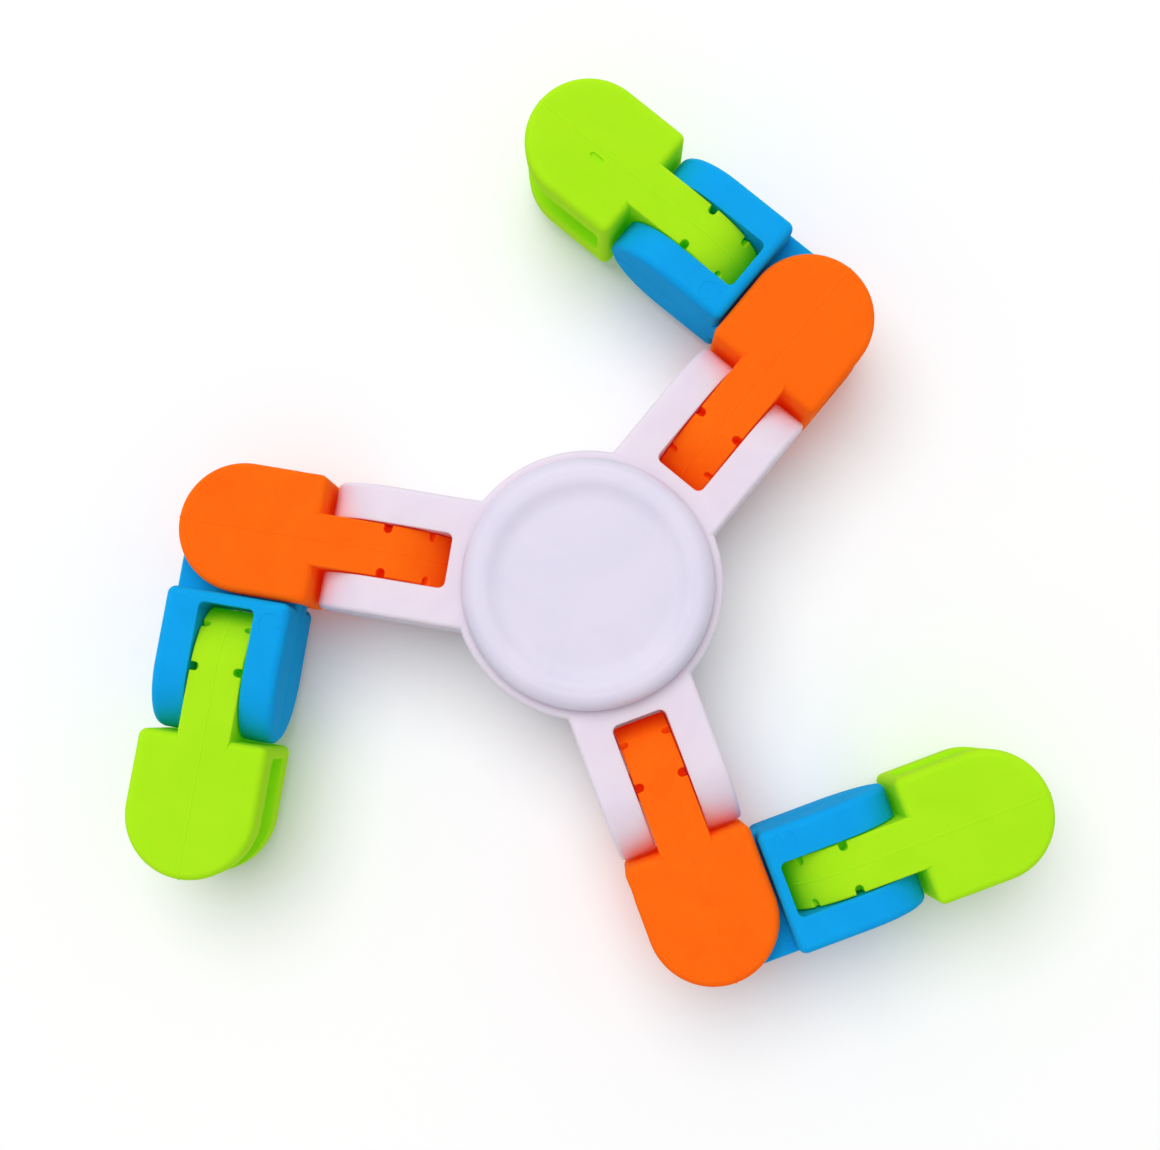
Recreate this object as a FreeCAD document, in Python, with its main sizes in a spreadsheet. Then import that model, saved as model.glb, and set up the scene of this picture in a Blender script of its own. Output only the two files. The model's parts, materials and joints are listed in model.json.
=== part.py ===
import FreeCAD, Part
import math
import os
import Sketcher
from FreeCAD import Placement, Rotation, Vector

# Three-armed hand spinner whose arms are chains of click links.
# Origin: on the spin axis, in the plane of the lower pad's rim, which is what it rests on.
# +Z points up along the spin axis and arm "a" points along +Y.  Millimetres.

ARM_NAMES = ("a", "b", "c")
FIRST_ARM = 90.0               # direction of arm "a" from +X, anticlockwise
CLICKS = 5                     # notches on each face of a tongue
BALL_COUNT = 7
HALF_TURN = 180.0
FULL_TURN = 360.0

# Driving sizes: every one can be changed by itself.
DRIVING = {
    # links
    "head_width": 13.6,        # across the round-ended cheeks
    "head_height": 13.0,       # along the fork's pivot
    "turn_gap": 0.3,           # round end to the next link's shoulder
    "web": 1.2,                # shoulder to the bottom of the fork's slot
    "tongue_thickness": 5.5,
    "side_gap": 0.15,          # tongue to cheek, each side
    "end_gap": 0.2,            # tongue tip to slot bottom
    "nub_radius": 1.5,
    "nub_height": 0.8,
    "nub_gap": 0.05,           # nub to dimple, all round
    "nub_end_gap": 0.1,
    "notch_width": 0.9,
    "notch_depth": 0.9,
    "notch_start": 3.6,        # distance from the pivot
    "rib_width": 0.6,
    "rib_height": 0.1,
    "rib_start": 4.2,
    "rib_end_gap": 0.3,
    "grip_root": 0.6,          # how far nubs and ribs reach into the cheek behind them
    "link_round": 0.7,
    "slot_round": 0.35,
    # frame
    "arm_width": 13.5,
    "arm_reach": 21.4,         # spin axis to the arm's pivot
    "arm_slot_gap": 0.3,       # tongue tip to the bottom of the arm's slot
    "arm_slot_round": 0.5,
    "hub_wall": 3.0,
    "seat_lip": 1.0,
    "frame_round": 0.5,
    # deep-groove ball bearing
    "bearing_bore": 8.0,
    "bearing_outside": 22.0,
    "bearing_width": 7.0,
    "ball_size": 3.969,
    "ball_circle": 15.0,
    "race_gap": 0.02,
    "inner_land": 12.1,        # outside diameter of the inner ring
    "outer_land": 17.9,        # inside diameter of the outer ring
    "shield_seat": 19.5,
    "shield_thickness": 0.35,
    "shield_inset": 0.2,
    "shield_gap": 0.2,
    "cage_wall": 1.8,
    "cage_web": 0.55,
    "cage_prong": 1.0,         # height of the prongs above the balls' centres
    "cage_gap": 0.1,
    # finger pads
    "pad_radius": 13.0,
    "pad_thickness": 2.0,
    "pad_lift": 0.5,           # pad to the frame's face
    "pad_heel": 0.3,           # rounding of the edge next to the frame
    "pad_side": 0.2,           # straight part of the edge
    "rim_flat": 0.5,           # width of the rim's flat crest
    "dish_depth": 0.45,
    "dish_floor": 8.3,         # radius of the flat floor
    "dish_lip": 3.2,           # rounding from the rim into the dish
    "boss_radius": 5.75,
    "stem_length": 3.3,
    "stem_gap": 0.02,
    "peg_radius": 2.0,
    "peg_length": 3.0,
    "peg_end_gap": 0.2,
}

# Sizes that follow from the driving ones.
DERIVED = {
    "head_half": "head_width / 2",
    "height_half": "head_height / 2",
    "tongue_half": "tongue_thickness / 2",
    "shoulder": "head_half + turn_gap",
    "tongue_root": "shoulder + link_round + turn_gap",
    "slot_half": "tongue_half + side_gap",
    "slot_bottom": "shoulder + web",
    "link_pitch": "slot_bottom + end_gap + height_half",
    "slot_run": "link_pitch + head_width - slot_bottom",
    "dimple_radius": "nub_radius + nub_gap",
    "dimple_depth": "nub_height - side_gap + nub_end_gap",
    "notch_half": "notch_width / 2",
    "notch_floor": "tongue_half - notch_depth",
    "notch_centre": "notch_floor + notch_half",
    "rib_length": "height_half - rib_end_gap - rib_start",
    "grip_back": "slot_half + grip_root",
    "nub_run": "grip_root + nub_height",
    "rib_run": "grip_root + rib_height",
    "rib_half": "rib_width / 2",
    "arm_rib_far": "arm_reach - rib_start",
    "arm_rib_near": "arm_rib_far - rib_length",
    "arm_half": "arm_width / 2",
    "hub_radius": "bearing_outside / 2 + hub_wall",
    "hub_rim": "hub_radius - frame_round",
    "hub_shelf": "head_half - frame_round",
    "arm_slot_bottom": "arm_reach - height_half - arm_slot_gap",
    "arm_slot_run": "arm_reach + head_width - arm_slot_bottom",
    "bearing_half": "bearing_width / 2",
    "outside_radius": "bearing_outside / 2",
    "bore_radius": "bearing_bore / 2",
    "ball_radius": "ball_size / 2",
    "circle_radius": "ball_circle / 2",
    "race_radius": "ball_radius + race_gap",
    "inner_land_radius": "inner_land / 2",
    "outer_land_radius": "outer_land / 2",
    "inner_race_half": "sqrt(race_radius ^ 2 - (circle_radius - inner_land_radius) ^ 2)",
    "outer_race_half": "sqrt(race_radius ^ 2 - (outer_land_radius - circle_radius) ^ 2)",
    "shield_radius": "shield_seat / 2",
    "shield_hole": "inner_land_radius + shield_gap",
    "shield_top": "bearing_half - shield_inset",
    "shield_step": "shield_top - shield_thickness",
    "cage_inside": "circle_radius - cage_wall / 2",
    "cage_outside": "circle_radius + cage_wall / 2",
    "pocket_radius": "ball_radius + cage_gap",
    "cage_bottom": "pocket_radius + cage_web",
    "pad_foot": "pad_radius - pad_heel",
    "pad_shelf": "pad_heel + pad_side",
    "pad_rim": "pad_radius - pad_thickness + pad_shelf",
    "dish_edge": "pad_rim - rim_flat",
    "dish_height": "pad_thickness - dish_depth",
    "dish_curves": "((dish_edge - dish_floor) ^ 2 + dish_depth ^ 2) / (2 * dish_depth)",
    "lip_share": "dish_lip / dish_curves",
    "lip_centre": "pad_thickness - dish_lip",
    "lip_end": "dish_edge - (dish_edge - dish_floor) * lip_share",
    "lip_height": "pad_thickness - dish_depth * lip_share",
    "dish_centre": "dish_height + dish_curves - dish_lip",
    "boss_length": "pad_lift + head_half - bearing_half",
    "stem_radius": "bore_radius - stem_gap",
    "stem_end": "boss_length + stem_length",
    "peg_end": "stem_end + peg_length",
    "socket_end": "stem_end - peg_length - peg_end_gap",
    "middle_height": "head_half + pad_lift + pad_thickness",
}

doc = FreeCAD.newDocument("ChainSpinner")
sheet = doc.addObject("Spreadsheet::Sheet", "Sizes")


def fill_sheet():
    cells = [(name, str(value)) for name, value in DRIVING.items()]
    cells += [(name, "=" + formula) for name, formula in DERIVED.items()]
    for row, (name, content) in enumerate(cells, start=1):
        sheet.set(f"A{row}", name)
        sheet.set(f"B{row}", content)
        sheet.setAlias(f"B{row}", name)
    doc.recompute()


def size(term):
    """The number that a sheet name stands for; a leading minus turns its sign."""
    if term.startswith("-"):
        return -sheet.get(term[1:])
    return float(sheet.get(term))


def cell(term):
    """The expression that binds a property to a sheet name."""
    if term.startswith("-"):
        return "-Sizes." + term[1:]
    return "Sizes." + term


def bind(feature, **terms):
    for name, expression in terms.items():
        feature.setExpression(name, expression)


# --- PartDesign helpers -------------------------------------------------------------------

def new_body(name):
    body = doc.addObject("PartDesign::Body", name)
    body.Label = name
    return body


def datum(body, role):
    return next(item for item in body.Origin.OriginFeatures if item.Role == role)


def new_sketch(body, name, role):
    sketch = body.newObject("Sketcher::SketchObject", name)
    sketch.AttachmentSupport = [(datum(body, role), "")]
    sketch.MapMode = "FlatFace"
    return sketch


def fix(sketch, kind, edge, end, term):
    """Holds one coordinate of a sketch point at a sheet size, or on the axis for 0."""
    if term == "0":
        axis = -2 if kind == "DistanceX" else -1
        sketch.addConstraint(Sketcher.Constraint("PointOnObject", edge, end, axis))
        return
    index = sketch.addConstraint(Sketcher.Constraint(kind, -1, 1, edge, end, size(term)))
    sketch.setExpression(f"Constraints[{index}]", cell(term))


def coordinate(term):
    return 0.0 if term == "0" else size(term)


def outline(sketch, corners):
    """Draws a closed outline.  A corner is (x, y), or (x, y, centre_x, centre_y, turn) where an
    arc leads from it to the next one, turning anticlockwise for turn 1 and clockwise for -1."""
    first = sketch.GeometryCount
    count = len(corners)
    points = [Vector(coordinate(c[0]), coordinate(c[1]), 0) for c in corners]
    starts = []
    for index, corner in enumerate(corners):
        start, end = points[index], points[(index + 1) % count]
        if len(corner) == 2:
            sketch.addGeometry(Part.LineSegment(start, end), False)
            starts.append((1, 2))
            continue
        centre = Vector(coordinate(corner[2]), coordinate(corner[3]), 0)
        turn = corner[4]
        one, two = (start, end) if turn > 0 else (end, start)
        low = math.atan2(one.y - centre.y, one.x - centre.x)
        high = math.atan2(two.y - centre.y, two.x - centre.x)
        if high <= low:
            high += 2 * math.pi
        circle = Part.Circle(centre, Vector(0, 0, 1), start.distanceToPoint(centre))
        sketch.addGeometry(Part.ArcOfCircle(circle, low, high), False)
        starts.append((1, 2) if turn > 0 else (2, 1))
    for index, corner in enumerate(corners):
        after = (index + 1) % count
        sketch.addConstraint(Sketcher.Constraint(
            "Coincident", first + index, starts[index][1], first + after, starts[after][0]))
        fix(sketch, "DistanceX", first + index, starts[index][0], corner[0])
        fix(sketch, "DistanceY", first + index, starts[index][0], corner[1])
        if len(corner) > 2:
            upright = abs(points[index].y - points[after].y) >= abs(points[index].x - points[after].x)
            kind, term = ("DistanceX", corner[2]) if upright else ("DistanceY", corner[3])
            fix(sketch, kind, first + index, 3, term)


def circle(sketch, centre_x, radius):
    """Draws a circle with its centre on the sketch's horizontal axis."""
    centre = Vector(coordinate(centre_x), 0, 0)
    sketch.addGeometry(Part.Circle(centre, Vector(0, 0, 1), size(radius)), False)
    fix(sketch, "DistanceX", 0, 3, centre_x)
    fix(sketch, "DistanceY", 0, 3, "0")
    index = sketch.addConstraint(Sketcher.Constraint("Radius", 0, size(radius)))
    sketch.setExpression(f"Constraints[{index}]", cell(radius))


def pad(body, sketch, name, length):
    feature = body.newObject("PartDesign::Pad", name)
    feature.Profile = sketch
    feature.SideType = "Symmetric"
    bind(feature, Length=length)
    doc.recompute()
    return feature


def revolve(body, name, corners):
    """Turns a radius-height outline round the body's Z axis."""
    sketch = new_sketch(body, name + "_profile", "XZ_Plane")
    outline(sketch, corners)
    feature = body.newObject("PartDesign::Revolution", name)
    feature.Profile = sketch
    feature.ReferenceAxis = (sketch, ["V_Axis"])
    feature.Angle = FULL_TURN
    doc.recompute()
    return feature


def block(body, kind, name, length, width, height, corner):
    """An additive or subtractive box, from its low corner."""
    feature = body.newObject(f"PartDesign::{kind}Box", name)
    feature.AttachmentSupport = [(datum(body, "XY_Plane"), "")]
    feature.MapMode = "FlatFace"
    bind(feature, Length=length, Width=width, Height=height)
    for axis, expression in zip("xyz", corner):
        feature.setExpression("AttachmentOffset.Base." + axis, expression)
    doc.recompute()
    return feature


def post(body, kind, name, radius, length, foot, direction):
    """An additive or subtractive cylinder that starts at foot and runs along direction."""
    feature = body.newObject(f"PartDesign::{kind}Cylinder", name)
    feature.AttachmentSupport = [(datum(body, "XY_Plane"), "")]
    feature.MapMode = "FlatFace"
    feature.AttachmentOffset = Placement(Vector(), Rotation(Vector(0, 0, 1), direction))
    bind(feature, Radius=radius, Height=length)
    for axis, expression in zip("xyz", foot):
        feature.setExpression("AttachmentOffset.Base." + axis, expression)
    doc.recompute()
    return feature


def turn_copies(body, name, originals, axis, angle, count):
    """Repeats the given features round an axis, or all of the body so far when there are none."""
    feature = body.newObject("PartDesign::PolarPattern", name)
    if originals:
        feature.Originals = originals
    else:
        feature.TransformMode = "Whole shape"
    feature.Axis = (datum(body, axis), [""])
    feature.Angle = angle
    feature.Occurrences = count
    body.Tip = feature
    doc.recompute()
    return feature


def round_edges(body, base, name, radius, wanted):
    names = [f"Edge{n}" for n, edge in enumerate(base.Shape.Edges, start=1) if wanted(edge)]
    feature = body.newObject("PartDesign::Fillet", name)
    feature.Base = (base, names)
    bind(feature, Radius=radius)
    body.Tip = feature
    doc.recompute()
    return feature


# --- links --------------------------------------------------------------------------------

def is_head_outline(edge):
    """True for the outline of the head's two flat faces and its two upright shoulder corners."""
    half = size("height_half")
    heights = [vertex.Z for vertex in edge.Vertexes]
    if all(abs(abs(z) - half) < 1e-6 for z in heights) and heights[0] * heights[-1] > 0:
        return True
    return all(abs(vertex.X - size("shoulder")) < 1e-6 for vertex in edge.Vertexes)


def is_slot_corner(edge):
    return len(edge.Vertexes) == 2 and all(
        abs(v.X - size("slot_bottom")) < 1e-6 and abs(abs(v.Z) - size("slot_half")) < 1e-6
        for v in edge.Vertexes)


def make_link(name):
    """One click link.  Its own frame: tongue pivot along Y at the origin, fork pivot along Z one
    pitch away on +X."""
    body = new_body(name)

    plan = new_sketch(body, "head_plan", "XY_Plane")
    outline(plan, [
        ("shoulder", "-head_half"),
        ("link_pitch", "-head_half", "link_pitch", "0", 1),
        ("link_pitch", "head_half"),
        ("shoulder", "head_half"),
    ])
    head = pad(body, plan, "head", "Sizes.head_height")
    round_edges(body, head, "head_rounding", "Sizes.link_round", is_head_outline)

    side = new_sketch(body, "tongue_side", "XZ_Plane")
    outline(side, [
        ("0", "height_half", "0", "0", 1),
        ("0", "-height_half"),
        ("tongue_root", "-height_half"),
        ("tongue_root", "height_half"),
    ])
    pad(body, side, "tongue", "Sizes.tongue_thickness")

    slot = block(body, "Subtractive", "fork_slot", "Sizes.slot_run", "Sizes.head_width * 2",
                 "Sizes.slot_half * 2", ("Sizes.slot_bottom", "-Sizes.head_width", "-Sizes.slot_half"))
    round_edges(body, slot, "slot_rounding", "Sizes.slot_round", is_slot_corner)

    for word, way in (("lower", -1), ("upper", 1)):
        back = "-Sizes.grip_back" if way < 0 else "Sizes.grip_back"
        post(body, "Additive", f"{word}_nub", "Sizes.nub_radius", "Sizes.nub_run",
             ("Sizes.link_pitch", "0", back), Vector(0, 0, -way))
        rib_foot = back if way < 0 else "Sizes.grip_back - Sizes.rib_run"
        block(body, "Additive", f"{word}_click_rib", "Sizes.rib_length", "Sizes.rib_width",
              "Sizes.rib_run",
              ("Sizes.link_pitch - Sizes.rib_start - Sizes.rib_length", "-Sizes.rib_width / 2",
               rib_foot))
    for word, way in (("right", -1), ("left", 1)):
        face = "-Sizes.tongue_half" if way < 0 else "Sizes.tongue_half"
        post(body, "Subtractive", f"{word}_dimple", "Sizes.dimple_radius", "Sizes.dimple_depth",
             ("0", face, "0"), Vector(0, -way, 0))

    notch = new_sketch(body, "notch_outline", "XY_Plane")
    notch.setExpression("AttachmentOffset.Base.z", "Sizes.notch_start")
    outline(notch, [
        ("-notch_half", "head_half"),
        ("-notch_half", "notch_centre", "0", "notch_centre", 1),
        ("notch_half", "notch_centre"),
        ("notch_half", "head_half"),
    ])
    outline(notch, [
        ("notch_half", "-head_half"),
        ("notch_half", "-notch_centre", "0", "-notch_centre", 1),
        ("-notch_half", "-notch_centre"),
        ("-notch_half", "-head_half"),
    ])
    cut = body.newObject("PartDesign::Pocket", "click_notches")
    cut.Profile = notch
    cut.Reversed = True
    bind(cut, Length="Sizes.head_height")
    doc.recompute()
    turn_copies(body, "notch_ring", [cut], "Y_Axis", -HALF_TURN, CLICKS)
    return body


def chain_place(centre, along, pivot):
    """Placement of a link whose tongue pivot lies at centre, with its length and tongue pivot
    along the two given directions."""
    across = along.cross(pivot)
    turn = Rotation(along, pivot, across, "XYZ")
    return Placement(centre, turn)


def make_chains():
    up = Vector(0, 0, 1)
    for index, arm in enumerate(ARM_NAMES):
        turn = Rotation(up, FIRST_ARM + index * FULL_TURN / len(ARM_NAMES))
        out = turn.multVec(Vector(1, 0, 0))
        sideways = up.cross(out)
        centre = out * size("arm_reach") + up * size("middle_height")
        make_link(f"inner_link_{arm}").Placement = chain_place(centre, out, sideways)
        centre = centre + out * size("link_pitch")
        make_link(f"middle_link_{arm}").Placement = chain_place(centre, sideways, up)
        centre = centre + sideways * size("link_pitch")
        make_link(f"outer_link_{arm}").Placement = chain_place(centre, sideways, -out)


# --- frame --------------------------------------------------------------------------------

def is_arm_outline(edge):
    """True for the outline of the arm's two flat sides, apart from its end on the spin axis."""
    on_side = all(abs(abs(v.Y) - size("arm_half")) < 1e-6 for v in edge.Vertexes)
    return on_side and edge.Vertexes[0].Y * edge.Vertexes[-1].Y > 0 and any(
        v.X > 1e-6 for v in edge.Vertexes)


def is_arm_slot_corner(edge):
    """True for the upright corners at the bottoms of the arms' slots."""
    reach = math.hypot(size("arm_slot_bottom"), size("slot_half"))
    upright = abs(edge.Vertexes[0].Z - edge.Vertexes[-1].Z) > 1e-6
    return upright and all(abs(math.hypot(v.X, v.Y) - reach) < 1e-6 for v in edge.Vertexes)


def grip_sketch(body, name, way):
    """A pad that grows out of one cheek of an arm (way 1 or -1) into its slot, and its sketch."""
    sketch = new_sketch(body, name + "_outline", "XZ_Plane")
    back = "-Sizes.grip_back" if way > 0 else "Sizes.grip_back"
    sketch.setExpression("AttachmentOffset.Base.z", back)
    feature = body.newObject("PartDesign::Pad", name)
    feature.Profile = sketch
    feature.Reversed = way < 0
    return feature, sketch


def make_frame():
    body = new_body("frame")
    side = new_sketch(body, "arm_side", "XZ_Plane")
    outline(side, [
        ("0", "-head_half"),
        ("arm_reach", "-head_half", "arm_reach", "0", 1),
        ("arm_reach", "head_half"),
        ("0", "head_half"),
    ])
    arm = pad(body, side, "arm", "Sizes.arm_width")
    round_edges(body, arm, "arm_rounding", "Sizes.frame_round", is_arm_outline)
    turn_copies(body, "arms", [], "Z_Axis", FULL_TURN, len(ARM_NAMES))
    revolve(body, "hub", [
        ("0", "-head_half"),
        ("hub_rim", "-head_half", "hub_rim", "-hub_shelf", 1),
        ("hub_radius", "-hub_shelf"),
        ("hub_radius", "hub_shelf", "hub_rim", "hub_shelf", 1),
        ("hub_rim", "head_half"),
        ("0", "head_half"),
    ])

    slot = block(body, "Subtractive", "arm_slot", "Sizes.arm_slot_run", "Sizes.slot_half * 2",
                 "Sizes.head_width * 2", ("Sizes.arm_slot_bottom", "-Sizes.slot_half",
                                          "-Sizes.head_width"))
    slots = turn_copies(body, "arm_slots", [slot], "Z_Axis", FULL_TURN, len(ARM_NAMES))
    round_edges(body, slots, "slot_rounding", "Sizes.arm_slot_round", is_arm_slot_corner)

    grips = []
    for word, way in (("right", -1), ("left", 1)):
        nub, outline_of_nub = grip_sketch(body, f"{word}_nub", way)
        circle(outline_of_nub, "arm_reach", "nub_radius")
        bind(nub, Length="Sizes.nub_run")
        rib, outline_of_rib = grip_sketch(body, f"{word}_click_rib", way)
        outline(outline_of_rib, [
            ("arm_rib_near", "-rib_half"),
            ("arm_rib_far", "-rib_half"),
            ("arm_rib_far", "rib_half"),
            ("arm_rib_near", "rib_half"),
        ])
        bind(rib, Length="Sizes.rib_run")
        grips += [nub, rib]
    doc.recompute()
    turn_copies(body, "grips", grips, "Z_Axis", FULL_TURN, len(ARM_NAMES))

    post(body, "Subtractive", "bearing_seat", "Sizes.outside_radius",
         "Sizes.bearing_half + Sizes.head_width", ("0", "0", "-Sizes.bearing_half"), Vector(0, 0, 1))
    post(body, "Subtractive", "seat_hole", "Sizes.outside_radius - Sizes.seat_lip",
         "Sizes.head_width * 2", ("0", "0", "-Sizes.head_width"), Vector(0, 0, 1))
    body.Placement = Placement(Vector(0, 0, size("middle_height")),
                               Rotation(Vector(0, 0, 1), FIRST_ARM))


# --- bearing ------------------------------------------------------------------------------

def make_bearing():
    level = Placement(Vector(0, 0, size("middle_height")), Rotation())
    inner = new_body("bearing_inner_ring")
    revolve(inner, "ring", [
        ("bore_radius", "-bearing_half"),
        ("inner_land_radius", "-bearing_half"),
        ("inner_land_radius", "-inner_race_half", "circle_radius", "0", -1),
        ("inner_land_radius", "inner_race_half"),
        ("inner_land_radius", "bearing_half"),
        ("bore_radius", "bearing_half"),
    ])
    inner.Placement = level

    outer = new_body("bearing_outer_ring")
    revolve(outer, "ring", [
        ("outer_land_radius", "-shield_step"),
        ("shield_radius", "-shield_step"),
        ("shield_radius", "-bearing_half"),
        ("outside_radius", "-bearing_half"),
        ("outside_radius", "bearing_half"),
        ("shield_radius", "bearing_half"),
        ("shield_radius", "shield_step"),
        ("outer_land_radius", "shield_step"),
        ("outer_land_radius", "outer_race_half", "circle_radius", "0", -1),
        ("outer_land_radius", "-outer_race_half"),
    ])
    outer.Placement = level

    for name, sides in (("lower_shield", ("-shield_top", "-shield_step")),
                        ("upper_shield", ("shield_step", "shield_top"))):
        shield = new_body(name)
        revolve(shield, "disc", [
            ("shield_hole", sides[0]),
            ("shield_radius", sides[0]),
            ("shield_radius", sides[1]),
            ("shield_hole", sides[1]),
        ])
        shield.Placement = level

    make_cage().Placement = level
    for number in range(1, BALL_COUNT + 1):
        angle = 2 * math.pi * (number - 1) / BALL_COUNT
        ball = doc.addObject("Part::Sphere", f"bearing_ball_{number}")
        ball.Label = f"bearing_ball_{number}"
        bind(ball, Radius="Sizes.ball_radius")
        ball.Placement = Placement(
            Vector(size("circle_radius") * math.cos(angle), size("circle_radius") * math.sin(angle),
                   size("middle_height")), Rotation())


def make_cage():
    """Snap-in crown cage: a ring under the balls with prongs between them."""
    cage = new_body("ball_cage")
    revolve(cage, "crown", [
        ("cage_inside", "-cage_bottom"),
        ("cage_outside", "-cage_bottom"),
        ("cage_outside", "cage_prong"),
        ("cage_inside", "cage_prong"),
    ])
    pocket = cage.newObject("PartDesign::SubtractiveSphere", "ball_pocket")
    pocket.AttachmentSupport = [(datum(cage, "XY_Plane"), "")]
    pocket.MapMode = "FlatFace"
    bind(pocket, Radius="Sizes.pocket_radius")
    pocket.setExpression("AttachmentOffset.Base.x", "Sizes.circle_radius")
    doc.recompute()
    turn_copies(cage, "ball_pockets", [pocket], "Z_Axis", FULL_TURN, BALL_COUNT)
    return cage


# --- finger pads --------------------------------------------------------------------------

def make_pad(name, corners_at_tip):
    """A dished finger pad with the stem that seats it in the bearing.  Its own frame: the
    underside of the rim at Z 0, the stem pointing down."""
    body = new_body(name)
    revolve(body, "dished_disc", [
        ("0", "dish_height"),
        *corners_at_tip,
        ("stem_radius", "-stem_end"),
        ("stem_radius", "-boss_length"),
        ("boss_radius", "-boss_length"),
        ("boss_radius", "0"),
        ("pad_foot", "0", "pad_foot", "pad_heel", 1),
        ("pad_radius", "pad_heel"),
        ("pad_radius", "pad_shelf", "pad_rim", "pad_shelf", 1),
        ("pad_rim", "pad_thickness"),
        ("dish_edge", "pad_thickness", "dish_edge", "lip_centre", 1),
        ("lip_end", "lip_height", "dish_floor", "dish_centre", -1),
        ("dish_floor", "dish_height"),
    ])
    return body


def make_pads():
    height = size("middle_height")
    lift = size("head_half") + size("pad_lift")
    upper = make_pad("top_cap", [("0", "-peg_end"), ("peg_radius", "-peg_end"),
                                 ("peg_radius", "-stem_end")])
    upper.Placement = Placement(Vector(0, 0, height + lift), Rotation())
    lower = make_pad("bottom_cap", [("0", "-socket_end"), ("peg_radius", "-socket_end"),
                                    ("peg_radius", "-stem_end")])
    lower.Placement = Placement(Vector(0, 0, height - lift), Rotation(Vector(1, 0, 0), HALF_TURN))


# --- checks and files ---------------------------------------------------------------------

def subparts():
    kinds = ("PartDesign::Body", "Part::Sphere")
    return [item for item in doc.Objects if item.TypeId in kinds]


def check_model():
    for item in doc.Objects:
        if "Invalid" in item.State or "Error" in item.State:
            raise RuntimeError(f"{item.Label} failed: {item.State}")
    for item in subparts():
        if item.Shape.isNull() or not item.Shape.isValid():
            raise RuntimeError(f"{item.Label} has no valid shape")
        if len(item.Shape.Solids) != 1:
            raise RuntimeError(f"{item.Label} has {len(item.Shape.Solids)} solids")


def write_files():
    os.makedirs("parts", exist_ok=True)
    for item in subparts():
        item.Shape.exportStep(f"parts/{item.Label}.step")
        print(f"{item.Label}: {item.Shape.Volume:.2f} mm3")


fill_sheet()
make_frame()
make_chains()
make_bearing()
make_pads()
doc.recompute()
check_model()
write_files()
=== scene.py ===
import json
import math

import bmesh
import bpy
from mathutils import Matrix, Vector

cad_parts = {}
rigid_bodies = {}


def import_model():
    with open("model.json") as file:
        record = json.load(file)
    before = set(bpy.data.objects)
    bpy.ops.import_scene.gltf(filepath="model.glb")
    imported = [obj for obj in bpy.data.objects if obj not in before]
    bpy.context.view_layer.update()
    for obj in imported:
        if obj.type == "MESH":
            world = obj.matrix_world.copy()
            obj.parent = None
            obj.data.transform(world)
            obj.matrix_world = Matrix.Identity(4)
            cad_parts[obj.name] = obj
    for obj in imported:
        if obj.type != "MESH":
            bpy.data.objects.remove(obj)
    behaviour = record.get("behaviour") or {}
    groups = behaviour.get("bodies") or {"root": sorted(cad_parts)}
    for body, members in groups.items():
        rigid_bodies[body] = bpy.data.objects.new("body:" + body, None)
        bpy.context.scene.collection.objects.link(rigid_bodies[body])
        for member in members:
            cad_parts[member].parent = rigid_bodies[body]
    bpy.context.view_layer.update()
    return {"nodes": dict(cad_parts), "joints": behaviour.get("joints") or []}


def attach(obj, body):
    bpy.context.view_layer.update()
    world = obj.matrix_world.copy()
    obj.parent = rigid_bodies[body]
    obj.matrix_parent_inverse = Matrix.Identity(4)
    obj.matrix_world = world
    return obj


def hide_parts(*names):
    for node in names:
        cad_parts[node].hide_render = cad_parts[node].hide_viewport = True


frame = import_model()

# Shapes are drawn in millimetres and turned into metres when they are put in place.
millimetre = 0.001
close = 0.0001        # points nearer than this are level with each other
onAxis = 0.000001     # a smaller radius than this is a pole
overshoot = 1.0       # how far a cutter reaches past what it cuts
up = Vector((0, 0, 1))
jointPlace = {j["name"]: Vector(j["pos_m"]) / millimetre for j in frame["joints"]}
middle = jointPlace["rotor_spin"]     # the bearing's centre
working = bpy.data.collections.new("working")
bpy.context.scene.collection.children.link(working)
print("frame loaded:", len(frame["nodes"]), "nodes")


# Helpers that make and join meshes

def workObject(name, mesh):
    obj = bpy.data.objects.new(name, mesh)
    working.objects.link(obj)
    return obj


def meshFrom(name, bm):
    mesh = bpy.data.meshes.new(name)
    bmesh.ops.recalc_face_normals(bm, faces=bm.faces)
    bm.to_mesh(mesh)
    bm.free()
    return mesh


def bakeModifiers(obj):
    bpy.context.view_layer.update()
    evaluated = obj.evaluated_get(bpy.context.evaluated_depsgraph_get())
    mesh = bpy.data.meshes.new_from_object(evaluated)
    obj.modifiers.clear()
    obj.data = mesh
    return obj


def combine(target, operation, *tools, overlapping=False):
    # overlapping: the tool is made of copies that run into each other
    for tool in tools:
        step = target.modifiers.new(operation, "BOOLEAN")
        step.operation = operation
        step.solver = "EXACT"
        step.use_self = overlapping
        step.object = tool
        bakeModifiers(target)
        bpy.data.objects.remove(tool)
    return target


def arcPoints(centre, radius, start, end, segments):
    points = []
    for index in range(segments + 1):
        angle = math.radians(start + (end - start) * index / segments)
        points.append((centre[0] + radius * math.cos(angle), centre[1] + radius * math.sin(angle)))
    return points


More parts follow.
